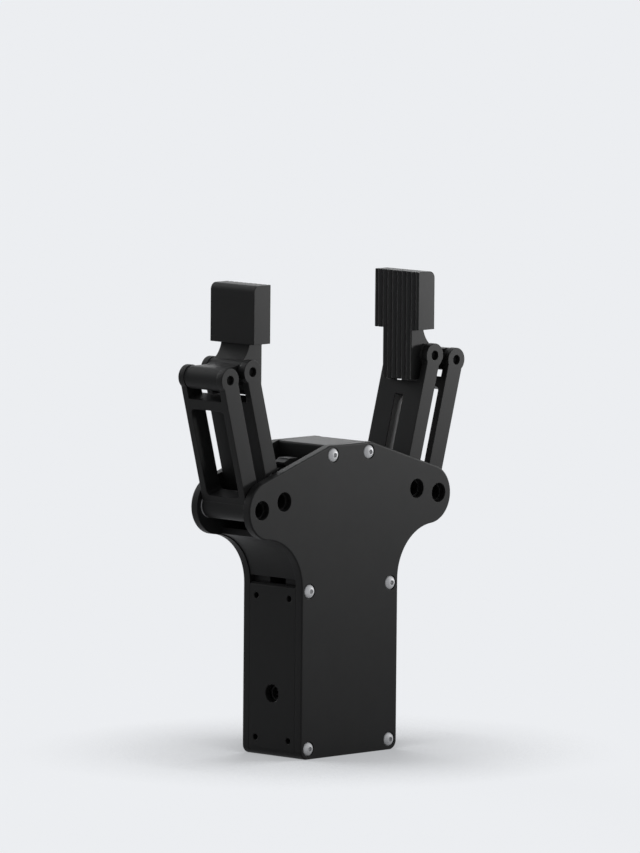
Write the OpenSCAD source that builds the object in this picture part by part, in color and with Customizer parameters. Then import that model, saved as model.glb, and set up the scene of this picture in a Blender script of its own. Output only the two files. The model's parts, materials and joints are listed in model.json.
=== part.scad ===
// Electric two-finger parallel gripper.
// X runs across the fingers, Y through the body's depth (front cover towards -Y) and Z up.
// The origin is at the middle of the underside. The fingers are modelled fully open, which is the rest pose.

/* [Body] */
// Width of the lower housing
body_w = 45.4; // [41.5:0.1:54.4]
// Depth of the body, from the front cover's face to the rear cover's face
body_d = 27; // [22.5:0.5:34]
// Height of the lower housing's side walls
housing_top = 57.3; // [56.5:0.1:69]
// Thickness of the lower housing's side walls
wall_t = 2.4; // [2:0.1:3]
// Thickness of the lower housing's floor
floor_t = 3; // [2.4:0.1:3.6]
// Radius of the housing's bottom corners
foot_r = 3; // [1:0.1:5]
// Height of the slot between the lower housing and the link frame
slot_h = 2.2; // [1.5:0.1:3]
// Thickness of each cover plate
cover_t = 3; // [2.4:0.1:3.6]
// Width of the bevel on the side walls' top edges
edge_bevel = 0.8; // [0.3:0.1:1]
// Height of the flat on top, above the lower housing's side walls
top_rise = 45.7; // [44.5:0.1:55]
// Width of the flat on top
top_flat_w = 19.8; // [19:0.1:23]
// Radius of the concave flank under each ear
flank_r = 17.4; // [14:0.1:20]
// Radius of each rounded ear
ear_r = 9.7; // [9:0.1:10]
// Distance of each ear's centre outwards from the lower housing's side
ear_out = 15.3; // [14:0.1:16.5]
// Height of the ears' centres above the lower housing's side walls
ear_rise = 26.3; // [25.5:0.1:28]
// How far the link frame's flanks lie behind the covers' edges
flank_recess = 0.4; // [0.2:0.1:1]

/* [Mounting] */
// Spacing of the tapped side holes along the depth
side_hole_dy = 15; // [12:0.5:16]
// Height of the lower pair of tapped side holes
side_hole_z = 5.9; // [5.8:0.1:7]
// Distance of the upper pair below the side walls' top edge
side_hole_drop = 4.4; // [3.9:0.1:5.5]
// Radius of a tapped side hole (M2.5 core)
side_hole_r = 1.03; // [0.8:0.01:1.2]
// Height of the cable hole in the left wall
cable_hole_z = 21; // [17:0.5:30]
// Radius of the cable hole
cable_hole_r = 3; // [2.5:0.1:4]

/* [Linkage] */
// Distance of a drive link's lower pivot inwards from its ear's centre
drive_in = 6.6; // [5.5:0.1:7]
// Height of the drive links' lower pivots above the ears' centres
drive_rise = 2.4; // [1.5:0.1:3]
// Follower pivot, outwards from the drive pivot
follower_dx = 10.4; // [9.8:0.1:11]
// Follower pivot, downwards from the drive pivot
follower_drop = 2.1; // [1:0.1:2.5]
// Distance between the two pivots of a link
link_len = 44.7; // [37:0.1:54]
// Lean of the links at full opening, outwards from vertical
open_angle = 15.2; // [13:0.1:17]
// Gap between a link and each cover, which the pivot washers fill
link_gap = 0.5; // [0.4:0.1:1]
// Radius of a link's rounded upper end
link_end_r = 4; // [3.8:0.1:4.2]
// Width of a drive link's bar, seen from the front
drive_bar_w = 5.8; // [5:0.1:6.4]
// Width of a follower link's bars, seen from the front
follower_bar_w = 6.6; // [5.6:0.1:7]
// Thickness of a follower link's side bars
side_bar_t = 2.6; // [2.2:0.1:3]
// Thickness of the ears at the top of each link
link_ear_t = 2.5; // [2:0.1:3]
// Radius of the lower pivot pins
pivot_pin_r = 3.2; // [2.6:0.1:3.8]
// Radius of the finger pins
finger_pin_r = 1.5; // [1.2:0.1:1.8]

/* [Fingers] */
// Distance from a pad's gripping face back to the drive link's upper pivot
finger_setback = 8.1; // [7.6:0.1:9]
// Height of a finger's tip above its inner eye
tip_rise = 28.1; // [26:0.1:36]
// Distance of a finger's lower end below its inner eye
stem_drop = 7.9; // [6:0.1:9]
// Height of a gripping pad
pad_h = 19.3; // [15:0.1:20]
// Thickness of a gripping pad
pad_t = 7.7; // [7:0.1:9]
// Width of a gripping pad along the depth
pad_w = 20; // [17:0.5:22]
// Radius of the pad's outer top edge
pad_top_r = 2.3; // [1:0.1:4]
// Thickness of a finger's stem
stem_t = 5.9; // [5:0.1:6.5]
// How far a finger's stem stands back from the forks, on each side
stem_inset = 1; // [0.5:0.1:2]
// Grooves in a gripping face
groove_count = 9; // [5:1:9]
// Distance between grooves
groove_pitch = 2.15; // [1.8:0.05:2.3]
// Depth of a groove
groove_depth = 0.45; // [0.2:0.05:0.8]

/* [Drive] */
// Module of the rack and the sector gears
gear_module = 1; // [1]
// Teeth on a full sector gear
gear_teeth = 24; // [24]
// Thickness of the sector gears
gear_w = 3.5; // [3:0.1:4]
// Diameter of the motor and its gearbox
motor_d = 16; // [14:0.5:19]
// Radius of the lead screw
screw_r = 2.5; // [2.2:0.1:2.8]
// Radius of the guide rods
rod_r = 1.5; // [1.2:0.1:1.6]
// Distance from the middle to each guide rod
rod_x = 7.4; // [7.2:0.1:7.6]

/* [Hidden] */
$fn = 64;

// Clearances
run_gap = 0.05;       // radial gap of a pin in the part that turns on it
side_gap = 0.1;       // end gap of a part that turns between two faces
cut = 1;              // how far a cutter runs past the face that it opens

// Finishes, as painted
black = "#232323";
steel = "#a9abad";
dark_steel = "#6a6c6f";
bronze = "#a5824a";
board_green = "#20503a";

// Body, worked out from the driving sizes
half_w = body_w / 2;
cavity_x = half_w - wall_t;
inner_y = body_d / 2 - cover_t;
top_z = housing_top + top_rise;
frame_z = housing_top + slot_h;
frame_t = 5;
frame_top = frame_z + frame_t;
ear = [half_w + ear_out, housing_top + ear_rise];
flank_x = half_w + flank_r;
flank = [flank_x, ear.y - sqrt(pow(ear_r + flank_r, 2) - pow(flank_x - ear.x, 2))];
ear_to_flank = ear + (flank - ear) * ear_r / (ear_r + flank_r);
top_corner = [top_flat_w / 2, top_z];
slope_angle = atan2(ear.y - top_corner.y, ear.x - top_corner.x) + asin(ear_r / norm(ear - top_corner));
slope_end = ear + ear_r * [cos(slope_angle + 90), sin(slope_angle + 90)];
flank_wall_t = 2.2;
flank_end_angle = 78;

// Cover screws: M2.5 with button heads
head_r = 2.35;
head_h = 1.4;
head_sink = 0.5;
counterbore_r = 2.5;
shank_r = 1.25;
core_r = 1.05;
screw_clear_r = 1.35;
thread_len = 6.5;
screw_inset = 3.6;
screw_low_z = 3.5;
screw_side_z = housing_top - 1.7;
screw_top_x = top_flat_w / 2 - 1.5;
screw_top_z = top_z - 3.2;
cover_screws = [
    [-screw_top_x, screw_top_z], [screw_top_x, screw_top_z],
    [-(half_w - screw_inset), screw_side_z], [half_w - screw_inset, screw_side_z],
    [-(half_w - screw_inset), screw_low_z], [half_w - screw_inset, screw_low_z]
];

// Corner blocks of the housing, which take the cover screws and the side screws
block_w = 7.8;
block_y = min(inner_y - thread_len - 0.5, side_hole_dy / 2 - 2.5);
low_block_h = side_hole_z + 3.6;
side_hole_top = housing_top - side_hole_drop;
side_hole_depth = 5.5;

// M2 screws, which hold the link frame, the gearbox and the board
frame_screw_r = 0.8;
frame_screw_len = 5;
frame_screw_x = cavity_x - block_w + 2.4;
frame_screw_y = inner_y - 3.4;

// Drive train on the centre line
encoder_z = floor_t + 1;
encoder_len = 5;
motor_z = encoder_z + encoder_len;
motor_len = 22;
gearbox_z = motor_z + motor_len;
gearbox_len = 15;
mount_z = gearbox_z + gearbox_len;
mount_t = 3.5;
ledge_y = inner_y - 2.5;
pilot_r = 4;
gearbox_screw_x = 6.2;
shaft_r = 1.5;
coupling_r = 4.5;
coupling_z = mount_z + mount_t + 1;
coupling_len = 8;
coupling_top = coupling_z + coupling_len;
bearing_t = 4;
lower_bearing_r = 5;
lower_journal_r = 2;
upper_bearing_r = 4;
upper_bearing_t = 3;
upper_journal_r = 1.5;
bridge_z = top_z - 8.5;
bridge_round = 0.8;
rod_seat = 3;

// Linkage at rest
pitch_r = gear_module * gear_teeth / 2;
drive = ear + [-drive_in, drive_rise];
follower = drive + [follower_dx, -follower_drop];
reach = link_len * [sin(open_angle), cos(open_angle)];
inner_eye = drive + reach;
outer_eye = follower + reach;
link_w = 2 * (inner_y - link_gap);
pivot_boss_r = pivot_pin_r + 1;
clevis_y = link_w / 2 - link_ear_t;
gear_lug = 8.5;
gear_dowel_r = 1;
drive_fork = 9.6;
drive_web = 4.7;
follower_fork = 6.5;
follower_web = 3.5;
window_r = 1.5;
pin_recess = 2;
finger_pin_recess = 1.3;
pin_drill_wall = 0.7;
pin_drill_len = 4;
sector_first = -4;
sector_last = 1;

// Fingers at rest
pad_x = inner_eye.x - finger_setback;
tip_z = inner_eye.y + tip_rise;
pad_z = tip_z - pad_h;
stem_z = inner_eye.y - stem_drop;
stem_w = 2 * (clevis_y - stem_inset);
eye_r = 3.8;
eye_y = clevis_y - side_gap;
heel_r = 8.7;
groove_w = 0.6;

// Rack and crosshead
rack_x = drive.x - pitch_r;
rack_w = 5;
rack_back_x = rack_x - 5.4;
rack_first = -2;
rack_last = 3;
pressure_angle = 20;
backlash = 0.12;
head_half_x = 12;
head_half_y = 6;
head_z = drive.y - 6;
head_t = 10;
nut_r = 3.8;
nut_flange_r = 5.2;
nut_flange_t = 1.5;
bush_r = 2;

// Control board
board_x = -(cavity_x - 6.8);
board_t = 1.6;
board_z = motor_z + 2;
board_h = 32;
board_w = 2 * (inner_y - 1);
board_hole_y = board_w / 2 - 2.5;
board_hole_z = [board_z + 2.5, board_z + board_h - 2.5];
boss_r = 2;
lead_x = -(motor_d / 2 + 1);
lead_r = 0.5;
lead_end_x = board_x + 2;

// ---- Helpers ----

// A flat shape drawn in X and Z, carried through the depth from y0 to y1.
module through_y(y0, y1) {
    rotate([90, 0, 0]) translate([0, 0, -y1]) linear_extrude(y1 - y0) children();
}

module rod_y(at, r, y0, y1) {
    through_y(y0, y1) translate(at) circle(r);
}

module rod_x_axis(x0, x1, y, z, r) {
    translate([x0, y, z]) rotate([0, 90, 0]) cylinder(r = r, h = x1 - x0);
}

module rod_z(x, y, z0, z1, r) {
    translate([x, y, z0]) cylinder(r = r, h = z1 - z0);
}

module block(x, y, z) {
    translate([x[0], y[0], z[0]]) cube([x[1] - x[0], y[1] - y[0], z[1] - z[0]]);
}

module both_sides() {
    children();
    mirror([1, 0, 0]) children();
}

module front_and_back() {
    children();
    mirror([0, 1, 0]) children();
}

// Turns a shape drawn upright at the origin onto a link's lower pivot.
module on_link(pivot) {
    translate([pivot.x, 0, pivot.y]) rotate([0, open_angle, 0]) children();
}

function flipped(points) = [for (i = [len(points) - 1:-1:0]) [-points[i].x, points[i].y]];

// ---- Outlines ----

// The body seen from the front. inset moves only the concave flanks inwards.
module body_outline(inset = 0) {
    right = [
        [half_w - foot_r, 0], [half_w, foot_r], [half_w, flank.y], flank,
        ear_to_flank, ear, slope_end, top_corner
    ];
    difference() {
        union() {
            polygon(concat(right, flipped(right)));
            for (s = [-1, 1]) {
                translate([s * (half_w - foot_r), foot_r]) circle(foot_r);
                translate([s * ear.x, ear.y]) circle(ear_r);
            }
        }
        for (s = [-1, 1]) translate([s * flank.x, flank.y]) circle(flank_r + inset, $fn = 128);
    }
}

module band(z0, z1) {
    translate([-60, z0]) square([120, z1 - z0]);
}

// ---- Housing and covers ----

module corner_blocks() {
    both_sides() front_and_back() {
        block([cavity_x - block_w, cavity_x + cut], [block_y, inner_y], [floor_t - cut, low_block_h]);
        block([cavity_x - block_w, cavity_x], [block_y, inner_y], [mount_z + mount_t, frame_z]);
        block([cavity_x - cut, cavity_x + cut], [block_y, inner_y], [mount_z + mount_t, housing_top]);
    }
}

module side_bores() {
    for (y = [-side_hole_dy / 2, side_hole_dy / 2], z = [side_hole_z, side_hole_top])
        both_sides() rod_x_axis(half_w - side_hole_depth, half_w + cut, y, z, side_hole_r);
}

module cover_screw_cores() {
    for (p = cover_screws) front_and_back() rod_y(p, core_r, inner_y - thread_len, inner_y + cut);
}

// The bevel on the top edge of each side wall, which runs from front to back.
module side_wall_bevels() {
    both_sides() translate([half_w, 0, housing_top]) rotate([90, 0, 0])
        cylinder(r = edge_bevel, h = 2 * body_d, center = true, $fn = 4);
}

module main_housing() color(black) difference() {
    union() {
        through_y(-inner_y, inner_y) difference() {
            intersection() {
                body_outline();
                band(0, housing_top);
            }
            translate([-cavity_x, floor_t]) square([2 * cavity_x, housing_top]);
        }
        corner_blocks();
        both_sides() block([cavity_x - 2, cavity_x + cut], [-ledge_y, ledge_y], [mount_z - 3, mount_z]);
        for (y = [-board_hole_y, board_hole_y], z = board_hole_z)
            rod_x_axis(-(cavity_x + cut), board_x - board_t, y, z, boss_r);
    }
    side_bores();
    side_wall_bevels();
    cover_screw_cores();
    rod_x_axis(-(half_w + cut), -(cavity_x - cut), 0, cable_hole_z, cable_hole_r);
    for (y = [-board_hole_y, board_hole_y], z = board_hole_z)
        rod_x_axis(-(cavity_x + 1), board_x, y, z, frame_screw_r);
    both_sides() front_and_back()
        rod_z(frame_screw_x, frame_screw_y, frame_z - frame_screw_len, frame_z + cut, frame_screw_r);
}

// The cover at the front. The rear one is its mirror image.
module cover_plate() {
    difference() {
        through_y(-body_d / 2, -inner_y) body_outline();
        for (p = cover_screws) {
            rod_y(p, screw_clear_r, -body_d / 2 - cut, -inner_y + cut);
            rod_y(p, counterbore_r, -body_d / 2 - cut, -body_d / 2 + head_sink);
        }
        for (s = [-1, 1], p = [drive, follower])
            rod_y([s * p.x, p.y], pivot_pin_r, -body_d / 2 - cut, -inner_y + cut);
    }
}

module front_cover() color(black) cover_plate();

module rear_cover() color(black) mirror([0, 1, 0]) cover_plate();

// A button-head screw along +Z, with its head's seat at z = 0 and its head below.
module button_screw(r, h, socket, plain_r, plain_len, core, core_len) {
    dome_r = (r * r + h * h) / (2 * h);
    difference() {
        union() {
            intersection() {
                translate([0, 0, dome_r - h]) sphere(dome_r);
                translate([0, 0, -h]) cylinder(r = r, h = h);
            }
            cylinder(r = plain_r, h = plain_len);
            cylinder(r = core, h = core_len);
        }
        translate([0, 0, -h - cut]) cylinder(d = socket / cos(30), h = cut + h * 0.6, $fn = 6);
    }
}

module cover_screw_set() {
    seat = body_d / 2 - head_sink;
    for (p = cover_screws)
        translate([p.x, -seat, p.y]) rotate([-90, 0, 0])
            button_screw(head_r, head_h, 1.5, shank_r, cover_t - head_sink, core_r,
                         cover_t - head_sink + thread_len - 0.3);
}

module front_cover_screws() color(steel) cover_screw_set();

module rear_cover_screws() color(steel) mirror([0, 1, 0]) cover_screw_set();

// ---- Link frame, bridge and guides ----

// The curved wall on the right, between its recessed face and its inner face.
module flank_wall() {
    wedge = [for (a = [0, flank_end_angle / 2, flank_end_angle]) flank + 30 * [-cos(a), sin(a)]];
    intersection() {
        translate(flank) circle(flank_r + flank_recess + flank_wall_t, $fn = 128);
        polygon(concat([flank], wedge));
        band(frame_z, ear.y);
    }
}

// The plate that carries the screw's lower bearing, with its two curved flanks.
module link_frame_outline() {
    difference() {
        union() {
            intersection() {
                body_outline(flank_recess);
                band(frame_z, frame_top);
            }
            both_sides() flank_wall();
        }
        both_sides() translate(flank) circle(flank_r + flank_recess, $fn = 128);
    }
}

module link_frame() color(black) difference() {
    through_y(-inner_y, inner_y) link_frame_outline();
    rod_z(0, 0, frame_top - bearing_t, frame_top + cut, lower_bearing_r);
    rod_z(0, 0, frame_z - cut, frame_top, lower_journal_r + 1);
    both_sides() {
        rod_z(rod_x, 0, frame_top - rod_seat, frame_top + cut, rod_r);
        front_and_back() rod_z(frame_screw_x, frame_screw_y, frame_z - cut, frame_top + cut, frame_screw_r);
    }
}

module link_frame_screws() color(steel) both_sides() front_and_back()
    translate([frame_screw_x, frame_screw_y, frame_top]) rotate([180, 0, 0])
        button_screw(1.8, 1.2, 1.3, frame_screw_r, frame_t, frame_screw_r, frame_t + frame_screw_len - 0.5);

module top_bridge() color(black) difference() {
    through_y(-inner_y, inner_y) difference() {
        translate([-top_flat_w / 2, bridge_z]) square([top_flat_w, top_z - bridge_z]);
        both_sides() translate([top_flat_w / 2 - bridge_round, top_z - bridge_round]) difference() {
            square(bridge_round + cut);
            circle(bridge_round);
        }
    }
    rod_z(0, 0, bridge_z - cut, bridge_z + upper_bearing_t, upper_bearing_r);
    rod_z(0, 0, bridge_z - cut, bridge_z + upper_bearing_t + 1, upper_journal_r + 0.5);
    both_sides() rod_z(rod_x, 0, bridge_z - cut, bridge_z + rod_seat, rod_r);
    cover_screw_cores();
}

module guide_rods() color(steel) both_sides()
    rod_z(rod_x, 0, frame_top - rod_seat, bridge_z + rod_seat, rod_r);

// A ball bearing seen as its two rings with a shield between them.
module ball_bearing(z, bore, outer, t) {
    shield = 0.25;
    translate([0, 0, z]) difference() {
        cylinder(r = outer, h = t);
        translate([0, 0, -cut]) cylinder(r = bore, h = t + 2 * cut);
        for (s = [-cut, t - shield]) translate([0, 0, s]) difference() {
            cylinder(r = outer - 0.8, h = s < 0 ? cut + shield : shield + cut);
            translate([0, 0, -cut]) cylinder(r = bore + 0.8, h = t + 4 * cut);
        }
    }
}

module lower_bearing() color(steel)
    ball_bearing(frame_top - bearing_t, lower_journal_r + run_gap, lower_bearing_r, bearing_t);

module upper_bearing() color(steel)
    ball_bearing(bridge_z, upper_journal_r + run_gap, upper_bearing_r, upper_bearing_t);

// ---- Motor, gearbox and board ----

module gearbox_screw_places() {
    for (a = [45:90:315]) rotate([0, 0, a]) translate([gearbox_screw_x, 0, 0]) children();
}

module motor_mount() color(steel) difference() {
    block([-cavity_x, cavity_x], [-inner_y + 0.5, inner_y - 0.5], [mount_z, mount_z + mount_t]);
    rod_z(0, 0, mount_z - cut, mount_z + mount_t + cut, pilot_r);
    gearbox_screw_places() {
        translate([0, 0, mount_z - cut]) cylinder(r = frame_screw_r, h = mount_t + 2 * cut);
        translate([0, 0, mount_z + mount_t - 1.3]) cylinder(r = 1.6, h = 1.3 + cut);
    }
    front_and_back()
        block([-cavity_x + 4, -cavity_x + 9], [inner_y - 3, inner_y],
            [mount_z - cut, mount_z + mount_t + cut]);
}

module gearbox() color(dark_steel) difference() {
    union() {
        rod_z(0, 0, gearbox_z, mount_z, motor_d / 2);
        rod_z(0, 0, mount_z, mount_z + 1.5, pilot_r);
    }
    rod_z(0, 0, mount_z - 6, mount_z + 2, shaft_r + run_gap);
    gearbox_screw_places() translate([0, 0, mount_z - 4]) cylinder(r = frame_screw_r, h = 5);
    for (z = [gearbox_z + 4, mount_z - 4]) translate([0, 0, z]) rotate_extrude()
        translate([motor_d / 2 - 0.3, 0]) square([1, 0.6]);
}

module gearbox_screws() color(steel) gearbox_screw_places()
    translate([0, 0, mount_z + mount_t - 1.3]) rotate([180, 0, 0])
        button_screw(1.5, 1.1, 1.1, frame_screw_r, 2, frame_screw_r, mount_t - 1.3 + 3.5);

module motor() color(steel) difference() {
    rod_z(0, 0, motor_z, gearbox_z, motor_d / 2 - 0.2);
    front_and_back() block([-motor_d, motor_d], [motor_d / 2 - 1, motor_d], [motor_z + 4, gearbox_z - 4]);
}

module encoder() color(black) union() {
    rod_z(0, 0, encoder_z, motor_z, motor_d / 2);
    block([-motor_d / 2 - 1.5, 0], [-3, 3], [encoder_z + 1, motor_z - 0.5]);
}

module control_board() color(board_green) difference() {
    block([board_x - board_t, board_x], [-board_w / 2, board_w / 2], [board_z, board_z + board_h]);
    for (y = [-board_hole_y, board_hole_y], z = board_hole_z)
        rod_x_axis(board_x - 2 * board_t, board_x + cut, y, z, frame_screw_r);
}

// Parts on the board's inner side: the controller, two drivers and the motor's header.
module board_chips() color(black) {
    header_z = board_z + 1.5;
    block([board_x, board_x + 1.2], [-4, 4], [board_z + 13, board_z + 21]);
    for (y = [-5.2, 5.2]) block([board_x, board_x + 1], [y - 2.2, y + 2.2], [board_z + 23.5, board_z + 28]);
    block([board_x, lead_end_x], [-3, 3], [header_z, header_z + 3.5]);
}

module board_screws() color(steel)
    for (y = [-board_hole_y, board_hole_y], z = board_hole_z)
        translate([board_x, y, z]) rotate([0, -90, 0])
            button_screw(1.5, 1, 1.1, frame_screw_r, board_t, frame_screw_r, board_t + 3.5);

// A round socket on the board, just behind the cable hole.
module cable_socket() color(black) {
    face_x = -(cavity_x - 0.1);
    outer_x = board_x - board_t;
    difference() {
        union() {
            rod_x_axis(face_x, outer_x, 0, cable_hole_z, cable_hole_r - 0.2);
            block([outer_x - 1.5, outer_x], [-4, 4], [cable_hole_z - 4, cable_hole_z + 4]);
        }
        rod_x_axis(face_x - cut, outer_x - 1.5, 0, cable_hole_z, cable_hole_r - 0.9);
    }
    for (a = [45:90:315])
        rod_x_axis(face_x + 0.8, outer_x - 1.5, 1.05 * cos(a), cable_hole_z + 1.05 * sin(a), 0.3);
}

module motor_leads() color("#a03028") for (y = [-1.2, 1.2]) {
    z = board_z + 3.25;
    rod_z(lead_x, y, motor_z - 0.5, z, lead_r);
    translate([lead_x, y, z]) sphere(lead_r);
    rod_x_axis(lead_end_x, lead_x, y, z, lead_r);
}

// ---- Parts that turn with the lead screw ----

module output_shaft() color(steel) difference() {
    rod_z(0, 0, mount_z - 5.5, coupling_z + 4, shaft_r);
    block([shaft_r - 0.4, 3], [-3, 3], [mount_z + 2, coupling_z + 5]);
}

module shaft_coupling() color(steel) difference() {
    rod_z(0, 0, coupling_z, coupling_top, coupling_r);
    rod_z(0, 0, coupling_z - cut, coupling_z + 4, shaft_r);
    rod_z(0, 0, coupling_z + 4, coupling_top + cut, lower_journal_r);
    for (z = [coupling_z + 2, coupling_top - 2]) rod_x_axis(1, coupling_r + cut, 0, z, 0.8);
    translate([0, 0, (coupling_z + coupling_top) / 2 - 0.4]) rotate_extrude()
        translate([coupling_r - 0.8, 0]) square([2, 0.8]);
}

module lead_screw() color(steel) union() {
    rod_z(0, 0, coupling_z + 4.2, frame_top + 0.6, lower_journal_r);
    rod_z(0, 0, frame_top + 0.6, bridge_z - 0.6, screw_r);
    rod_z(0, 0, bridge_z - 0.6, bridge_z + upper_bearing_t, upper_journal_r);
}

// ---- Crosshead ----

// One rack tooth, pointing along +X from the root line, with its middle at height z.
module rack_tooth(z) {
    half = (PI * gear_module - backlash) / 4;
    slope = tan(pressure_angle);
    tip = half - gear_module * slope;
    root = half + 1.25 * gear_module * slope;
    x_root = rack_x - 1.25 * gear_module;
    polygon([[x_root - 0.5, z - root], [x_root, z - root], [rack_x + gear_module, z - tip],
             [rack_x + gear_module, z + tip], [x_root, z + root], [x_root - 0.5, z + root]]);
}

module rack() {
    pitch = PI * gear_module;
    z0 = drive.y + rack_first * pitch;
    z1 = drive.y + (rack_last + 1) * pitch;
    through_y(-rack_w / 2, rack_w / 2) {
        translate([rack_back_x, z0]) square([rack_x - 1.25 * gear_module - rack_back_x, z1 - z0]);
        for (k = [rack_first:rack_last]) rack_tooth(drive.y + (k + 0.5) * pitch);
    }
}

module crosshead() color(steel) difference() {
    union() {
        block([-head_half_x, head_half_x], [-head_half_y, head_half_y], [head_z, head_z + head_t]);
        both_sides() {
            block([0, rack_back_x + cut], [-rack_w / 2, rack_w / 2], [head_z, head_z + head_t]);
            rack();
        }
    }
    rod_z(0, 0, head_z - cut, head_z + head_t + cut, nut_r);
    both_sides() rod_z(rod_x, 0, head_z - cut, head_z + head_t + cut, bush_r);
    both_sides() front_and_back() translate([head_half_x, head_half_y, head_z - cut])
        rotate([0, 0, 45]) translate([-1.5, -1.5, 0]) cube([3, 3, head_t + 2 * cut]);
}

module screw_nut() color(bronze) difference() {
    union() {
        rod_z(0, 0, head_z - nut_flange_t, head_z, nut_flange_r);
        rod_z(0, 0, head_z, head_z + head_t, nut_r);
    }
    rod_z(0, 0, head_z - nut_flange_t - cut, head_z + head_t + cut, screw_r + run_gap);
}

module guide_bushes() color(bronze) both_sides() difference() {
    rod_z(rod_x, 0, head_z, head_z + head_t, bush_r);
    rod_z(rod_x, 0, head_z - cut, head_z + head_t + cut, rod_r + run_gap);
}

// ---- Pivots ----

// A pivot pin held in both covers, with its ends set back and drilled.
module pivot_pin(p) {
    end_y = body_d / 2 - pin_recess;
    difference() {
        rod_y(p, pivot_pin_r, -end_y, end_y);
        front_and_back() rod_y(p, pivot_pin_r - pin_drill_wall, end_y - pin_drill_len, end_y + cut);
    }
}

module drive_link_pins() color(black) both_sides() pivot_pin(drive);

module follower_link_pins() color(black) both_sides() pivot_pin(follower);

module pivot_washers() color(steel) both_sides() front_and_back() for (p = [drive, follower])
    difference() {
        rod_y(p, pivot_boss_r, link_w / 2 + side_gap, inner_y - side_gap);
        rod_y(p, pivot_pin_r + run_gap, link_w / 2 - cut, inner_y + cut);
    }

// ---- Links ----

// A link's solid bar with its two round ends, upright on the origin.
module link_bar(w) {
    through_y(-link_w / 2, link_w / 2) {
        circle(pivot_boss_r);
        translate([0, link_len]) circle(link_end_r);
        translate([-w / 2, 0]) square([w, link_len]);
    }
}

// The open fork at a link's top and the holes for both of its pins.
module link_cuts(fork_depth) {
    block([-6, 6], [-clevis_y, clevis_y], [link_len - fork_depth, link_len + 6]);
    rod_y([0, 0], pivot_pin_r + run_gap, -link_w, link_w);
    rod_y([0, link_len], finger_pin_r + run_gap, -link_w, link_w);
}

module drive_link() {
    on_link(drive) difference() {
        link_bar(drive_bar_w);
        link_cuts(drive_fork);
        block([-6, 6], [-gear_w / 2, gear_w / 2], [-6, link_len - drive_fork - drive_web]);
        rod_y([0, gear_lug], gear_dowel_r, -link_w, link_w);
    }
}

// The window of a follower link, seen along X, with rounded corners.
module window_outline(half_y, z0, z1, r) {
    for (y = [-half_y + r, half_y - r], z = [z0 + r, z1 - r]) translate([y, z]) circle(r);
    translate([-half_y + r, z0]) square([2 * (half_y - r), z1 - z0]);
    translate([-half_y, z0 + r]) square([2 * half_y, z1 - z0 - 2 * r]);
}

module follower_link() {
    on_link(follower) difference() {
        link_bar(follower_bar_w);
        link_cuts(follower_fork);
        translate([-6, 0, 0]) rotate([90, 0, 90]) linear_extrude(12)
            window_outline(link_w / 2 - side_bar_t, pivot_boss_r + 0.6,
                           link_len - follower_fork - follower_web, window_r);
    }
}

module right_drive_link() color(black) drive_link();

module left_drive_link() color(black) mirror([1, 0, 0]) drive_link();

module right_follower_link() color(black) follower_link();

module left_follower_link() color(black) mirror([1, 0, 0]) follower_link();

// ---- Sector gears ----

base_r = pitch_r * cos(pressure_angle);
root_r = pitch_r - 1.25 * gear_module;
tip_r = pitch_r + gear_module;

// The involute function, in degrees, at radius r.
function involute(r) = let (a = acos(base_r / r)) tan(a) * 180 / PI - a;

// Half of a tooth's angle at radius r.
function half_tooth(r) =
    ((PI * gear_module - backlash) / 4 / pitch_r) * 180 / PI + involute(pitch_r) - involute(max(r, base_r));

function at_angle(r, a) = r * [cos(a), sin(a)];

// One tooth's outline around the angle a: up one flank and down the other.
function tooth(a) =
    let (radii = concat([root_r], [for (i = [0:4]) base_r + (tip_r - base_r) * i / 4]))
    concat(
        [for (r = radii) at_angle(r, a - half_tooth(r))],
        [for (i = [len(radii) - 1:-1:0]) at_angle(radii[i], a + half_tooth(radii[i]))]
    );

module sector_gear() translate([drive.x, 0, drive.y]) difference() {
    union() {
        through_y(-gear_w / 2, gear_w / 2) {
            polygon(concat([[0, 0]],
                           [for (k = [sector_first:sector_last]) each tooth(180 + k * 360 / gear_teeth)]));
            circle(pivot_boss_r);
        }
        rotate([0, open_angle, 0]) through_y(-gear_w / 2, gear_w / 2) {
            translate([-2.2, 0]) square([4.4, gear_lug]);
            translate([0, gear_lug]) circle(2.2);
        }
    }
    rod_y([0, 0], pivot_pin_r + run_gap, -gear_w, gear_w);
    rotate([0, open_angle, 0]) rod_y([0, gear_lug], gear_dowel_r, -gear_w, gear_w);
}

module right_sector_gear() color(steel) sector_gear();

module left_sector_gear() color(steel) mirror([1, 0, 0]) sector_gear();

module gear_dowel() on_link(drive) rod_y([0, gear_lug], gear_dowel_r, -link_w / 2 + 0.5, link_w / 2 - 0.5);

module right_gear_dowel() color(steel) gear_dowel();

module left_gear_dowel() color(steel) mirror([1, 0, 0]) gear_dowel();

// ---- Fingers ----

// The pad seen from the front, with its outer top corner rounded.
module pad_outline() {
    translate([pad_x, pad_z]) square([pad_t, pad_h - pad_top_r]);
    translate([pad_x, pad_z]) square([pad_t - pad_top_r, pad_h]);
    translate([pad_x + pad_t - pad_top_r, tip_z - pad_top_r]) circle(pad_top_r);
}

// The web from the stem out to the outer eye, hollowed by the heel's round.
module heel_outline() {
    along = (outer_eye - inner_eye) / norm(outer_eye - inner_eye);
    down = eye_r * [along.y, -along.x];
    shelf_z = outer_eye.y + eye_r;
    round_x = pad_x + stem_t + heel_r;
    difference() {
        polygon([inner_eye + down, outer_eye + down, outer_eye, [outer_eye.x, shelf_z], [round_x, shelf_z],
                 [round_x, pad_z], [pad_x + 1, pad_z], [pad_x + 1, inner_eye.y]]);
        translate([round_x, shelf_z + heel_r]) circle(heel_r);
    }
}

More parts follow.
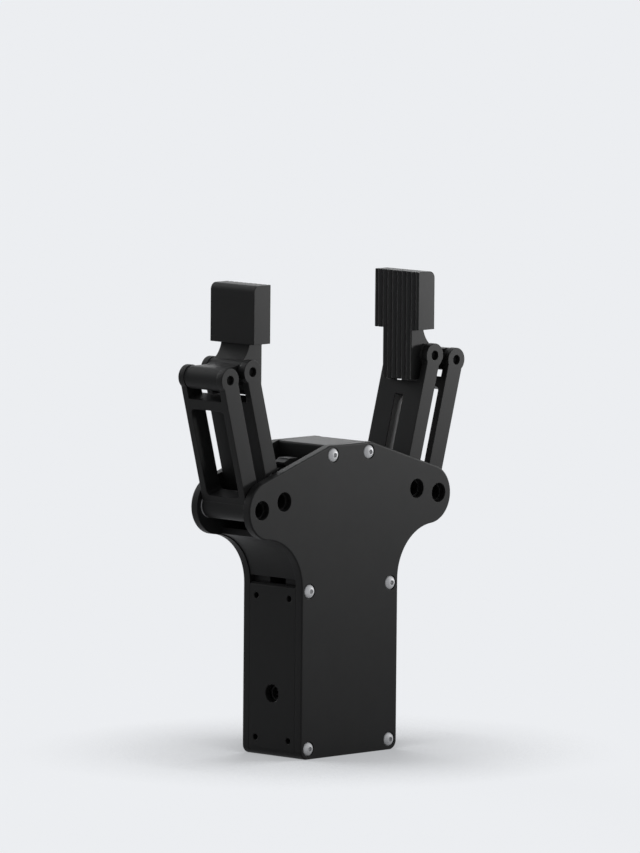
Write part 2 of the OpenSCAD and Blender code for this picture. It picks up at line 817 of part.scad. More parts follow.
module finger() difference() {
    union() {
        through_y(-pad_w / 2, pad_w / 2) pad_outline();
        through_y(-stem_w / 2, stem_w / 2) {
            translate([pad_x, stem_z]) square([stem_t, pad_z - stem_z]);
            heel_outline();
        }
        for (p = [inner_eye, outer_eye]) rod_y(p, eye_r, -eye_y, eye_y);
    }
    for (p = [inner_eye, outer_eye]) rod_y(p, finger_pin_r, -eye_y - cut, eye_y + cut);
    for (i = [0:groove_count - 1]) {
        y = (i - (groove_count - 1) / 2) * groove_pitch;
        block([pad_x - cut, pad_x + groove_depth], [y - groove_w / 2, y + groove_w / 2],
              [stem_z - cut, tip_z + cut]);
    }
}

module finger_pins() for (p = [inner_eye, outer_eye])
    rod_y(p, finger_pin_r, -link_w / 2 + finger_pin_recess, link_w / 2 - finger_pin_recess);

module right_finger() color(black) finger();

module left_finger() color(black) mirror([1, 0, 0]) finger();

module right_finger_pins() color(dark_steel) finger_pins();

module left_finger_pins() color(dark_steel) mirror([1, 0, 0]) finger_pins();

main_housing();
front_cover();
rear_cover();
front_cover_screws();
rear_cover_screws();
link_frame();
link_frame_screws();
top_bridge();
guide_rods();
motor_mount();
motor();
encoder();
gearbox();
gearbox_screws();
control_board();
board_chips();
board_screws();
cable_socket();
motor_leads();
lower_bearing();
upper_bearing();
output_shaft();
shaft_coupling();
lead_screw();
crosshead();
screw_nut();
guide_bushes();
drive_link_pins();
follower_link_pins();
pivot_washers();
left_drive_link();
right_drive_link();
left_sector_gear();
right_sector_gear();
left_gear_dowel();
right_gear_dowel();
left_follower_link();
right_follower_link();
left_finger();
right_finger();
left_finger_pins();
right_finger_pins();
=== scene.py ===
"""Finishes and fine detail for an electric two-finger parallel gripper.

Each rigid piece is a copy of the construction model's piece with its edges rounded or broken and
a procedural finish. The lead screw gets its thread, and the control board its chips' legs and its
small parts.
"""

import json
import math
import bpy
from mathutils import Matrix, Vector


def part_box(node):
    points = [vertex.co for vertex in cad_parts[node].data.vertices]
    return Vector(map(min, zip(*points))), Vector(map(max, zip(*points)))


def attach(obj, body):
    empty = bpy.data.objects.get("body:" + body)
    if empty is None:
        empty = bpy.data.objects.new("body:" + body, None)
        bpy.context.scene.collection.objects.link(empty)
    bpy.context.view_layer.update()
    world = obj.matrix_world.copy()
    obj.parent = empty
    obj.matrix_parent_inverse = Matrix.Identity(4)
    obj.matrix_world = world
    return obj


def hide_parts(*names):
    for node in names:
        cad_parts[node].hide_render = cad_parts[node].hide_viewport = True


bl_info = {
    "name": "Two-Finger Gripper Finish",
    "version": (1, 0, 0),
    "blender": (4, 5, 0),
    "location": "View3D > Sidebar > Gripper",
    "description": "Rounds, threads and finishes for a two-finger gripper, with its studio stage",
    "category": "Object",
}

import bmesh
import bpy
from bpy.props import FloatProperty, FloatVectorProperty, PointerProperty
from mathutils import Matrix, Vector

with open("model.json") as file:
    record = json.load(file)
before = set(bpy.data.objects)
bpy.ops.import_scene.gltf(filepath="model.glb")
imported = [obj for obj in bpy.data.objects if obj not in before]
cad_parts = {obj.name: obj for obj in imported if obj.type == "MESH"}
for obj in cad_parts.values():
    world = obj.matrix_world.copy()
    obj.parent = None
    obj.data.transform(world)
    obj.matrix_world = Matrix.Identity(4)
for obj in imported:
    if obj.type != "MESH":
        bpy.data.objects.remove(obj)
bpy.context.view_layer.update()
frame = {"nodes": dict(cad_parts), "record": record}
NODES = frame["nodes"]
RECORD = frame["record"]
BODY_OF = {node: body for body, nodes in RECORD["behaviour"]["bodies"].items() for node in nodes}
SLOT_OF = {part["node"]: part["material_slot"] for part in RECORD["subparts"]}

MM = 0.001

# Corners closer than this are one corner, and a place within it lies on a face
MERGE_DISTANCE = 1e-6

# Faces that meet at less than the first angle are one flat face, and edges sharper than the
# second are broken. Shading is smooth across edges blunter than the third.
FLAT_ANGLE = math.radians(0.4)
EDGE_ANGLE = math.radians(28)
SMOOTH_ANGLE = math.radians(50)

# Steps across a broken edge and across the round of a cover
BREAK_SEGMENTS = 2
ROUND_SEGMENTS = 4

# Shares of the small break that the screws' sockets and the gears' teeth have room for
SCREW_SHARE = 0.8
GEAR_SHARE = 0.5

# The lead screw's flanks and journals, and the gap between its thread and each bearing
FLANK_ANGLE = math.radians(15)
LOWER_JOURNAL_RADIUS = 2.0 * MM
UPPER_JOURNAL_RADIUS = 1.5 * MM
BEARING_GAP = 0.6 * MM

# Half the width of a finger's stem and web, along Y, and the depth of the grooves in its pad
STEM_HALF_WIDTH = 6.5 * MM
GROOVE_DEPTH = 0.45 * MM

# The control board's parts: the legs of the square chip and of the two drivers above it, and the
# rows of small parts below. A height is above the board's lower edge. A size is along Y, along Z
# and above the board's face. A reach is from a part's middle to the middle of its leg or cap.
CHIP_HEIGHT = 17 * MM
CHIP_LEG_PITCH = 0.85 * MM
CHIP_LEG_REACH = 4.45 * MM
CHIP_LEGS_PER_SIDE = 9
CHIP_LEG_SIZE = (0.4 * MM, 1.1 * MM, 0.3 * MM)
DRIVER_Y = 5.2 * MM
DRIVER_HEIGHT = 25.75 * MM
DRIVER_LEG_PITCH = 1.1 * MM
DRIVER_LEG_REACH = 2.65 * MM
DRIVER_LEGS_PER_SIDE = 4
DRIVER_LEG_SIZE = (0.45 * MM, 1.1 * MM, 0.3 * MM)
SMALL_PART_HEIGHTS = (7.5 * MM, 9.5 * MM)
SMALL_PARTS_PER_ROW = 7
SMALL_PART_PITCH = 2.2 * MM
SMALL_PART_SIZE = (0.8 * MM, 0.8 * MM, 0.5 * MM)
END_CAP_REACH = 0.55 * MM
END_CAP_SIZE = (0.3 * MM, 0.85 * MM, 0.52 * MM)

# How pale a face is marked, from 0 for the whole coating to 1 for the palest tone
# Broken edges get a little of it, for edge wear and for a painted highlight
EDGE_WEAR_AND_HIGHLIGHT = 0.045
# The fingers' grooves and the drive links' slot walls get all of it, as painted light
PAINTED_LIGHT = 1.0

# Where the spot lamp stands and points, and the width of its cone in degrees
SPOT_PLACE = (0.45, -0.27, 0.17)
SPOT_TARGET = (0.077, 0.0, 0.363)
SPOT_CONE = 97

# The directions that the distant lights come from, and their widths in degrees
KEY_LIGHT = ((0.50, -0.60, 0.62), 12)
FILL_LIGHT = ((0.74, 0.52, 0.40), 25)
BACK_LIGHT = ((0.10, 1.00, 0.25), 25)

# The floor: its radius, how much of the lamps' light it shows and how much it throws back at the
# object, and how brightly it glows in the background's colour
FLOOR_RADIUS = 30.0
FLOOR_SHOWN = 0.045
FLOOR_BOUNCE = 0.18
FLOOR_GLOW = 0.98

# The contact shade: how far it looks for the object, with how many rays, the share of open sky
# at which it is darkest, how steeply it fades and the share of the glow that it leaves
SHADE_REACH = 0.08
SHADE_RAYS = 4
DARKEST_SKY = 0.5
SHADE_POWER = 2.6
DARKEST_SHADE = 0.5


# ---- Sizes and colours that a user may change ----


def length(name, description, default, low, high):
    """A length in metres, from low to high."""
    return FloatProperty(name=name, description=description, default=default, min=low, max=high,
                         unit="LENGTH", precision=5)


def colour(name, description, default):
    """A linear RGB colour."""
    return FloatVectorProperty(name=name, description=description, default=default, size=3,
                               subtype="COLOR", min=0.0, max=1.0)


def light_strength(name, description, default, high=20.0):
    """The strength of a light, from nothing to high."""
    return FloatProperty(name=name, description=description, default=default, min=0.0, max=high)


class GripperEdges(bpy.types.PropertyGroup):
    """Widths of the rounded and broken edges"""

    cover: length("Cover round", "Round on the outer edge of each cover",
                  0.55 * MM, 0.1 * MM, 0.56 * MM)
    holes: length("Hole break", "Broken edge of a cover's holes and of its back face",
                  0.12 * MM, 0.02 * MM, 0.2 * MM)
    housing: length("Housing break", "Broken edges of the housing, frame and bridge",
                    0.2 * MM, 0.02 * MM, 0.4 * MM)
    links: length("Link break", "Broken edges of the links",
                  0.22 * MM, 0.02 * MM, 0.4 * MM)
    fingers: length("Finger break", "Broken edges of the fingers",
                    0.16 * MM, 0.02 * MM, 0.2 * MM)
    small: length("Small break", "Broken edges of the screws, the pins and the parts inside",
                  0.1 * MM, 0.02 * MM, 0.15 * MM)


class GripperThread(bpy.types.PropertyGroup):
    """The thread of the lead screw"""

    pitch: length("Pitch", "Rise of the thread in one turn", 2.0 * MM, 1.0 * MM, 3.0 * MM)
    depth: length("Depth", "Depth of the thread, whose root stays wider than the upper journal",
                  0.9 * MM, 0.3 * MM, 0.95 * MM)


class GripperFinish(bpy.types.PropertyGroup):
    """Colours of the finishes"""

    anodised: colour("Anodised black", "Covers, housing, frame, links and fingers",
                     (0.030, 0.030, 0.030))
    blackened: colour("Blackened steel", "Pivot pins and finger pins", (0.029, 0.029, 0.029))
    stainless: colour("Stainless steel", "Screws, rods and bearings", (0.44, 0.44, 0.445))
    gear_steel: colour("Gear steel", "Racks, sector gears, lead screw and gearbox",
                       (0.05, 0.05, 0.051))
    bronze: colour("Bronze", "Nut and bushes", (0.45, 0.30, 0.12))
    board: colour("Solder mask", "The control board", (0.02, 0.12, 0.06))
    plastic: colour("Black plastic", "Encoder, chips and cable socket", (0.03, 0.03, 0.03))
    insulation: colour("Insulation", "The motor's leads", (0.35, 0.04, 0.03))


class GripperStage(bpy.types.PropertyGroup):
    """The floor, the background and the lamps"""

    background: colour("Background", "What the camera sees behind the object",
                       (0.84, 0.855, 0.88))
    spot: FloatProperty(name="Spot lamp",
                        description="Power of the lamp aimed at the fingers and the cover",
                        default=10.8, min=0.0, max=100.0, subtype="POWER")
    key: light_strength("Key light", "Strength of the distant light at the front right", 0.2)
    fill: light_strength("Fill light", "Strength of the distant light behind the object", 0.45)
    back: light_strength("Back light", "Strength of the distant light on the rear cover", 2.4)
    ambient: light_strength("Ambient", "Strength of the even light from all round", 0.082, high=1.0)


# ---- Node helpers ----


def empty_tree(owner, output_kind):
    """The node tree of a material or a world, with nothing in it but an output."""
    owner.use_nodes = True
    tree = owner.node_tree
    tree.nodes.clear()
    return tree, tree.nodes.new(output_kind)


def new_material(name):
    """A node material with nothing but its shader and an output."""
    material = bpy.data.materials.new(name)
    tree, output = empty_tree(material, "ShaderNodeOutputMaterial")
    shader = tree.nodes.new("ShaderNodeBsdfPrincipled")
    tree.links.new(shader.outputs["BSDF"], output.inputs["Surface"])
    return material, tree, shader


def object_coordinates(tree, stretch=(1.0, 1.0, 1.0)):
    """Places in metres on the piece, stretched along each axis."""
    place = tree.nodes.new("ShaderNodeTexCoord")
    mapping = tree.nodes.new("ShaderNodeMapping")
    mapping.inputs["Scale"].default_value = stretch
    tree.links.new(place.outputs["Object"], mapping.inputs["Vector"])
    return mapping.outputs["Vector"]


def noise(tree, vector, size, detail=3.0, roughness=0.5):
    """Noise whose features are about size metres across."""
    node = tree.nodes.new("ShaderNodeTexNoise")
    node.inputs["Scale"].default_value = 1.0 / size
    node.inputs["Detail"].default_value = detail
    node.inputs["Roughness"].default_value = roughness
    tree.links.new(vector, node.inputs["Vector"])
    return node.outputs["Fac"]


def spread(tree, value, low, high, start=0.3, end=0.7):
    """value, from start to end, turned into a number from low to high."""
    node = tree.nodes.new("ShaderNodeMapRange")
    node.inputs["From Min"].default_value = start
    node.inputs["From Max"].default_value = end
    node.inputs["To Min"].default_value = low
    node.inputs["To Max"].default_value = high
    tree.links.new(value, node.inputs["Value"])
    return node.outputs["Result"]


def two_tones(tree, value, first, second):
    """A colour from first to second, as value goes from 0 to 1."""
    node = tree.nodes.new("ShaderNodeMix")
    node.data_type = "RGBA"
    tree.links.new(value, node.inputs["Factor"])
    for letter, tone in (("A", first), ("B", second)):
        socket = next(s for s in node.inputs if s.name == letter and s.type == "RGBA")
        if isinstance(tone, bpy.types.NodeSocket):
            tree.links.new(tone, socket)
        else:
            socket.default_value = (*tone, 1.0)
    return next(s for s in node.outputs if s.type == "RGBA")


def bump(tree, shader, height, depth, strength=1.0):
    """Raises the surface by depth metres where height is 1."""
    node = tree.nodes.new("ShaderNodeBump")
    node.inputs["Strength"].default_value = strength
    node.inputs["Distance"].default_value = depth
    tree.links.new(height, node.inputs["Height"])
    tree.links.new(node.outputs["Normal"], shader.inputs["Normal"])


def scaled(tone, factor):
    """A paler or darker tone."""
    return tuple(min(1.0, channel * factor) for channel in tone)


def clouds(tree, vector, size, tone, low, high, detail=3.0):
    """A tone that drifts from low to high times itself, in clouds about size metres across."""
    cloud = spread(tree, noise(tree, vector, size, detail), 0.0, 1.0)
    return two_tones(tree, cloud, scaled(tone, low), scaled(tone, high))


def wear_and_painted_light(tree):
    """Each face's mark, from 0 to 1: edge wear and painted highlight, or painted light."""
    node = tree.nodes.new("ShaderNodeAttribute")
    node.attribute_name = "edge"
    return node.outputs["Fac"]


# ---- Materials, one for each slot ----


def dark_coating(name, tone, grain, roughness, wear_and_light_paleness):
    """A matt black coating with a fine blasted grain and faint blotches, paler on marked faces.

    The roughness is a lowest and a highest value, and marked faces are up to the last number times
    as pale as tone: edge wear with a painted highlight, or painted light.
    """
    material, tree, shader = new_material(name)
    place = object_coordinates(tree)
    body = clouds(tree, place, 9 * MM, tone, 0.93, 1.07, detail=4.0)
    # Paler where marked: edge wear and a painted highlight on broken edges,
    # and painted light in the fingers' grooves and the drive links' slot walls
    worn_and_lit_tone = two_tones(tree, wear_and_painted_light(tree), body, scaled(tone, wear_and_light_paleness))
    tree.links.new(worn_and_lit_tone, shader.inputs["Base Color"])
    fine = noise(tree, place, grain, detail=2.0, roughness=0.6)
    tree.links.new(spread(tree, fine, *roughness), shader.inputs["Roughness"])
    shader.inputs["Specular IOR Level"].default_value = 0.12
    bump(tree, shader, fine, depth=0.012 * MM, strength=0.7)
    return material


def anodised_black(finish):
    """The coating of the aluminium parts, with the finest grain."""
    return dark_coating("black_anodised", finish.anodised, 0.12 * MM, (0.46, 0.56), wear_and_light_paleness=12.0)


def blackened_steel(finish):
    """The coating of the pins."""
    return dark_coating("black_steel", finish.blackened, 0.2 * MM, (0.44, 0.58), wear_and_light_paleness=27.0)


def oxided_steel(finish):
    """The darkened steel of the gears and the lead screw, a little smoother than the pins."""
    return dark_coating("gear_steel", finish.gear_steel, 0.3 * MM, (0.38, 0.52), wear_and_light_paleness=18.0)


def stainless_steel(finish):
    """Bare steel with fine scratches, which run mostly round the vertical axis."""
    material, tree, shader = new_material("screw_steel")
    drawn_out = object_coordinates(tree, stretch=(0.25, 0.25, 6.0))
    scratches = noise(tree, drawn_out, 0.5 * MM, detail=5.0, roughness=0.6)
    body = clouds(tree, object_coordinates(tree), 3 * MM, finish.stainless, 0.9, 1.08)
    tree.links.new(body, shader.inputs["Base Color"])
    tree.links.new(spread(tree, scratches, 0.56, 0.7), shader.inputs["Roughness"])
    shader.inputs["Metallic"].default_value = 1.0
    bump(tree, shader, scratches, depth=0.004 * MM, strength=0.4)
    return material


def sintered_bronze(finish):
    """Bronze with the small dark pores of a sintered bush."""
    material, tree, shader = new_material("bronze")
    place = object_coordinates(tree)
    pores = tree.nodes.new("ShaderNodeTexVoronoi")
    pores.inputs["Scale"].default_value = 1.0 / (0.25 * MM)
    tree.links.new(place, pores.inputs["Vector"])
    open_pore = spread(tree, pores.outputs["Distance"], 1.0, 0.0, start=0.1, end=0.3)
    body = clouds(tree, place, 2 * MM, finish.bronze, 0.88, 1.12)
    pitted = two_tones(tree, open_pore, body, scaled(finish.bronze, 0.3))
    tree.links.new(pitted, shader.inputs["Base Color"])
    rough_pores = spread(tree, open_pore, 0.34, 0.6, start=0.0, end=1.0)
    tree.links.new(rough_pores, shader.inputs["Roughness"])
    shader.inputs["Metallic"].default_value = 1.0
    bump(tree, shader, pores.outputs["Distance"], depth=0.02 * MM, strength=0.6)
    return material


def solder_mask(finish):
    """Green solder mask over copper tracks, which show as a faint raised maze."""
    material, tree, shader = new_material("board")
    tracks = tree.nodes.new("ShaderNodeTexBrick")
    tracks.inputs["Scale"].default_value = 1.0 / (1.2 * MM)
    tracks.inputs["Mortar Size"].default_value = 0.08
    tracks.inputs["Mortar Smooth"].default_value = 0.4
    turned = object_coordinates(tree)
    turned.node.inputs["Rotation"].default_value = (0.0, math.radians(90), 0.0)
    tree.links.new(turned, tracks.inputs["Vector"])
    line = tracks.outputs["Fac"]
    body = two_tones(tree, line, finish.board, scaled(finish.board, 1.7))
    tree.links.new(body, shader.inputs["Base Color"])
    smears = noise(tree, turned, 1 * MM)
    tree.links.new(spread(tree, smears, 0.25, 0.35), shader.inputs["Roughness"])
    bump(tree, shader, line, depth=0.03 * MM, strength=0.5)
    return material


def moulded_plastic(finish):
    """Black plastic with the fine grain of its mould."""
    material, tree, shader = new_material("black_plastic")
    place = object_coordinates(tree)
    grain = noise(tree, place, 0.15 * MM, roughness=0.6)
    body = clouds(tree, place, 4 * MM, finish.plastic, 0.9, 1.15)
    tree.links.new(body, shader.inputs["Base Color"])
    tree.links.new(spread(tree, grain, 0.46, 0.6), shader.inputs["Roughness"])
    shader.inputs["Specular IOR Level"].default_value = 0.25
    bump(tree, shader, grain, depth=0.01 * MM, strength=0.6)
    return material


def wire_insulation(finish):
    """The smooth insulation of the motor's leads, unevenly rubbed."""
    material, tree, shader = new_material("lead_wire")
    place = object_coordinates(tree)
    body = clouds(tree, place, 1.5 * MM, finish.insulation, 0.85, 1.15)
    tree.links.new(body, shader.inputs["Base Color"])
    rubbed = noise(tree, place, 1.5 * MM)
    tree.links.new(spread(tree, rubbed, 0.35, 0.5), shader.inputs["Roughness"])
    return material


SLOT_MAKERS = {
    "black_anodised": anodised_black,
    "black_steel": blackened_steel,
    "screw_steel": stainless_steel,
    "gear_steel": oxided_steel,
    "bronze": sintered_bronze,
    "board": solder_mask,
    "black_plastic": moulded_plastic,
    "lead_wire": wire_insulation,
}


def slot_material(slot):
    """The finish of one of the record's slots. It takes its name from the CAD's plain material."""
    material = bpy.data.materials.get(slot)
    if material is None or not material.get("is_finish"):
        if material is not None:
            material.name = f"{slot}_plain"
        material = SLOT_MAKERS[slot](bpy.context.scene.gripper_finish)
        material["is_finish"] = True
    return material


# ---- Mesh helpers ----


def add_piece(name, bm, slot, body, *replaced):
    """Makes a finished piece of a bmesh, in its slot's material, on its body, for some nodes."""
    mesh = bpy.data.meshes.new(name)
    bm.to_mesh(mesh)
    bm.free()
    mesh.materials.append(slot_material(slot))
    mesh.shade_smooth()
    mesh.set_sharp_from_angle(angle=SMOOTH_ANGLE)
    piece = bpy.data.objects.new(name, mesh)
    bpy.context.scene.collection.objects.link(piece)
    weighting = piece.modifiers.new("Weighted normals", "WEIGHTED_NORMAL")
    weighting.keep_sharp = True
    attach(piece, body)
    if replaced:
        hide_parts(*replaced)


def solid_of(node):
    """A node's mesh as a bmesh with shared corners and whole flat faces."""
    bm = bmesh.new()
    bm.from_mesh(NODES[node].data)
    bmesh.ops.remove_doubles(bm, verts=bm.verts, dist=MERGE_DISTANCE)
    bmesh.ops.dissolve_degenerate(bm, edges=bm.edges, dist=MERGE_DISTANCE)
    bmesh.ops.dissolve_limit(bm, angle_limit=FLAT_ANGLE, verts=bm.verts, edges=bm.edges,
                             use_dissolve_boundaries=False)
    return bm


def corners(bm):
    """The edges where two faces meet at a clear angle."""
    return [e for e in bm.edges
            if len(e.link_faces) == 2 and e.calc_face_angle(0.0) > EDGE_ANGLE]


def round_edges(bm, edges, width, segments=BREAK_SEGMENTS):
    """Bevels the edges and marks the new faces a little paler, as edge wear and a painted
    highlight.
    """
    mark = bm.faces.layers.float.get("edge") or bm.faces.layers.float.new("edge")
    made = bmesh.ops.bevel(bm, geom=edges, offset=width, offset_type="OFFSET", affect="EDGES",
                           segments=segments, profile=0.5, material=-1, clamp_overlap=False,
                           loop_slide=False)
    for face in made["faces"]:
        face[mark] = EDGE_WEAR_AND_HIGHLIGHT


def outline(edges):
    """Of edges that form loops, the loop that reaches furthest."""
    left = set(edges)
    best, best_reach = [], 0.0
    while left:
        loop, waiting = [], [left.pop()]
        while waiting:
            edge = waiting.pop()
            loop.append(edge)
            for vert in edge.verts:
                for other in vert.link_edges:
                    if other in left:
                        left.remove(other)
                        waiting.append(other)
        points = [vert.co for edge in loop for vert in edge.verts]
        reach = max(p.x for p in points) - min(p.x for p in points)
        if reach > best_reach:
            best, best_reach = loop, reach
    return best


def paint_light_on(bm, faces):
    """Marks faces with the palest tone, as painted light."""
    mark = bm.faces.layers.float["edge"]
    for face in faces:
        face[mark] = PAINTED_LIGHT


def replace_node(node, bm):
    """Makes the finished piece that takes a node's place."""
    add_piece(f"{node}_finished", bm, SLOT_OF[node], BODY_OF[node], node)


def finish_nodes(width, *nodes):
    """Replaces nodes with copies whose corners are all broken to the same width."""
    for node in nodes:
        bm = solid_of(node)
        round_edges(bm, corners(bm), width)
        replace_node(node, bm)


def finish_finger(node, width):
    """Replaces a finger. Its web's edges stay sharp, as a round would fold where the eyes begin."""
    gripping_x = min(abs(corner.x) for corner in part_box(node))

    def depth(vert):
        """How far a corner lies behind the gripping face."""
        return abs(vert.co.x) - gripping_x

    def on_web(edge):
        """Whether an edge lies on a side of the web, clear of the grooves."""
        return all(abs(abs(v.co.y) - STEM_HALF_WIDTH) < MERGE_DISTANCE and depth(v) > MM
                   for v in edge.verts)

    def in_groove(face):
        """Whether a face lies in a groove, below the broken edges of its mouth."""
        return all(width / 2 < depth(v) < GROOVE_DEPTH + MERGE_DISTANCE for v in face.verts)

    bm = solid_of(node)
    round_edges(bm, [e for e in corners(bm) if not on_web(e)], width)
    # The grooves get the palest tone as painted light, which stands in for light lines in them
    paint_light_on(bm, [face for face in bm.faces if in_groove(face)])
    replace_node(node, bm)


def paint_nodes(*nodes):
    """Gives nodes their slots' materials and leaves their shapes as they are."""
    for node in nodes:
        mesh = NODES[node].data
        mesh.materials.clear()
        mesh.materials.append(slot_material(SLOT_OF[node]))


def add_rod(bm, low, high, radius, sides=48):
    """A capped cylinder on the vertical axis, from height low to high."""
    lift = Matrix.Translation((0.0, 0.0, (low + high) / 2))
    bmesh.ops.create_cone(bm, cap_ends=True, segments=sides, radius1=radius, radius2=radius,
                          depth=high - low, matrix=lift)


def add_block(bm, lowest, highest):
    """A box between two corners."""
    lowest, highest = Vector(lowest), Vector(highest)
    place = Matrix.Translation((lowest + highest) / 2) @ Matrix.Diagonal((*(highest - lowest), 1.0))
    bmesh.ops.create_cube(bm, size=1.0, matrix=place)


def spaced(count, pitch):
    """Places along a row that is centred on 0."""
    return [(k - (count - 1) / 2) * pitch for k in range(count)]


def add_thread(bm, low, high, radius, pitch, depth, sides=36):
    """A trapezoidal screw thread on the vertical axis, cut off square and capped at both ends."""
    flank = depth * math.tan(FLANK_ANGLE)
    flat = pitch / 2 - flank
    root = radius - depth
    spare_turns = 2
    first = low - spare_turns * pitch
    profile = ((root, 0.0), (root, flat), (radius, flat + flank), (radius, 2 * flat + flank),
               (root, pitch))
    points = [bm.verts.new((r, 0.0, first + z)) for r, z in profile]
    lines = [bm.edges.new(pair) for pair in zip(points, points[1:])]
    turns = math.ceil((high - low) / pitch) + 2 * spare_turns
    bmesh.ops.spin(bm, geom=points + lines, cent=(0.0, 0.0, 0.0), axis=(0.0, 0.0, 1.0),
                   dvec=(0.0, 0.0, pitch / sides), angle=math.tau * turns, steps=sides * turns)
    bmesh.ops.remove_doubles(bm, verts=bm.verts, dist=MERGE_DISTANCE)
    for height, side in ((low, -1.0), (high, 1.0)):
        whole = bm.verts[:] + bm.edges[:] + bm.faces[:]
        bmesh.ops.bisect_plane(bm, geom=whole, dist=MERGE_DISTANCE, plane_co=(0.0, 0.0, height),
                               plane_no=(0.0, 0.0, side), clear_outer=True)
    bmesh.ops.holes_fill(bm, edges=[e for e in bm.edges if e.is_boundary], sides=0)
    bmesh.ops.recalc_face_normals(bm, faces=bm.faces)


# ---- Operators ----


class GRIPPER_OT_covers(bpy.types.Operator):
    """Round the outer edge of both covers and break the edges of their holes"""

    bl_idname = "gripper.covers"
    bl_label = "Covers"

    def execute(self, context):
        edges = context.scene.gripper_edges
        for node, face_y in (("front_cover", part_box("front_cover")[0].y),
                             ("rear_cover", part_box("rear_cover")[1].y)):
            bm = solid_of(node)
            sharp = corners(bm)
            rim = outline([e for e in sharp
                           if all(abs(v.co.y - face_y) < MERGE_DISTANCE for v in e.verts)])
            on_rim = set(rim)
            # Edges that run through the plate stay sharp
            level = [e for e in sharp if e not in on_rim
                     and abs(e.verts[0].co.y - e.verts[1].co.y) <= MERGE_DISTANCE]
            round_edges(bm, rim, edges.cover, ROUND_SEGMENTS)
            round_edges(bm, [e for e in level if e.is_valid], edges.holes)
            replace_node(node, bm)
        return {"FINISHED"}


class GRIPPER_OT_housing(bpy.types.Operator):
    """Break the edges of the lower housing, the link frame and the top bridge"""

    bl_idname = "gripper.housing"
    bl_label = "Housing and frame"

    def execute(self, context):
        finish_nodes(context.scene.gripper_edges.housing,
                     "main_housing", "link_frame", "top_bridge")
        return {"FINISHED"}


class GRIPPER_OT_links(bpy.types.Operator):
    """Break the edges of the four links, and paint light on the slot walls of the drive links"""

    bl_idname = "gripper.links"
    bl_label = "Links"

    def execute(self, context):
        width = context.scene.gripper_edges.links
        for side in ("left", "right"):
            finish_nodes(width, f"{side}_follower_link")
            slot_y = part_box(f"{side}_sector_gear")[1].y
            bm = solid_of(f"{side}_drive_link")
            round_edges(bm, corners(bm), width)
            # The slot walls get the palest tone as painted light, which stands in for light on them
            paint_light_on(bm, [face for face in bm.faces if all(
                abs(abs(v.co.y) - slot_y) < MERGE_DISTANCE for v in face.verts)])
            replace_node(f"{side}_drive_link", bm)
        return {"FINISHED"}


class GRIPPER_OT_fingers(bpy.types.Operator):
    """Break the fingers' edges, but not where the web meets the eyes; paint light in the grooves"""

    bl_idname = "gripper.fingers"
    bl_label = "Fingers"

    def execute(self, context):
        for node in ("left_finger", "right_finger"):
            finish_finger(node, context.scene.gripper_edges.fingers)
        return {"FINISHED"}


class GRIPPER_OT_pins(bpy.types.Operator):
    """Break the edges of the pivot pins, finger pins and dowels, and paint the washers"""

    bl_idname = "gripper.pins"
    bl_label = "Pins and washers"

    def execute(self, context):
        finish_nodes(context.scene.gripper_edges.small,
                     "drive_link_pins", "follower_link_pins", "left_finger_pins",
                     "right_finger_pins", "left_gear_dowel", "right_gear_dowel")
        paint_nodes("pivot_washers")
        return {"FINISHED"}


class GRIPPER_OT_screws(bpy.types.Operator):
    """Break the edges of the screws' heads and sockets"""

    bl_idname = "gripper.screws"
    bl_label = "Screws"

    def execute(self, context):
        finish_nodes(context.scene.gripper_edges.small * SCREW_SHARE,
                     "front_cover_screws", "rear_cover_screws", "link_frame_screws",
                     "gearbox_screws", "board_screws")
        return {"FINISHED"}


class GRIPPER_OT_drive(bpy.types.Operator):
    """Finish the crosshead, the racks, the sector gears, the nut, the bushes and the guides"""

    bl_idname = "gripper.drive"
    bl_label = "Crosshead and gears"

    def execute(self, context):
        small = context.scene.gripper_edges.small
        finish_nodes(small, "crosshead")
        finish_nodes(small * GEAR_SHARE, "left_sector_gear", "right_sector_gear")
        paint_nodes("screw_nut", "guide_bushes", "guide_rods", "lower_bearing", "upper_bearing",
                    "output_shaft", "shaft_coupling")
        return {"FINISHED"}


class GRIPPER_OT_lead_screw(bpy.types.Operator):
    """Cut the thread of the lead screw between its two journals"""

    bl_idname = "gripper.lead_screw"
    bl_label = "Lead screw"

    def execute(self, context):
        sizes = context.scene.gripper_thread
        lowest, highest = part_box("lead_screw")
        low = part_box("lower_bearing")[1].z + BEARING_GAP
        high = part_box("upper_bearing")[0].z - BEARING_GAP
        overlap = sizes.pitch / 4
        bm = bmesh.new()
        add_thread(bm, low, high, highest.x, sizes.pitch, sizes.depth)
        add_rod(bm, lowest.z, low + overlap, LOWER_JOURNAL_RADIUS)
        add_rod(bm, high - overlap, highest.z, UPPER_JOURNAL_RADIUS)
        replace_node("lead_screw", bm)
        return {"FINISHED"}


class GRIPPER_OT_motor(bpy.types.Operator):
    """Finish the motor, its gearbox, encoder, mount and leads, and the cable socket"""

    bl_idname = "gripper.motor"
    bl_label = "Motor and cable socket"

    def execute(self, context):
        finish_nodes(context.scene.gripper_edges.small,
                     "motor", "encoder", "motor_mount", "cable_socket")
        paint_nodes("gearbox", "motor_leads")
        return {"FINISHED"}


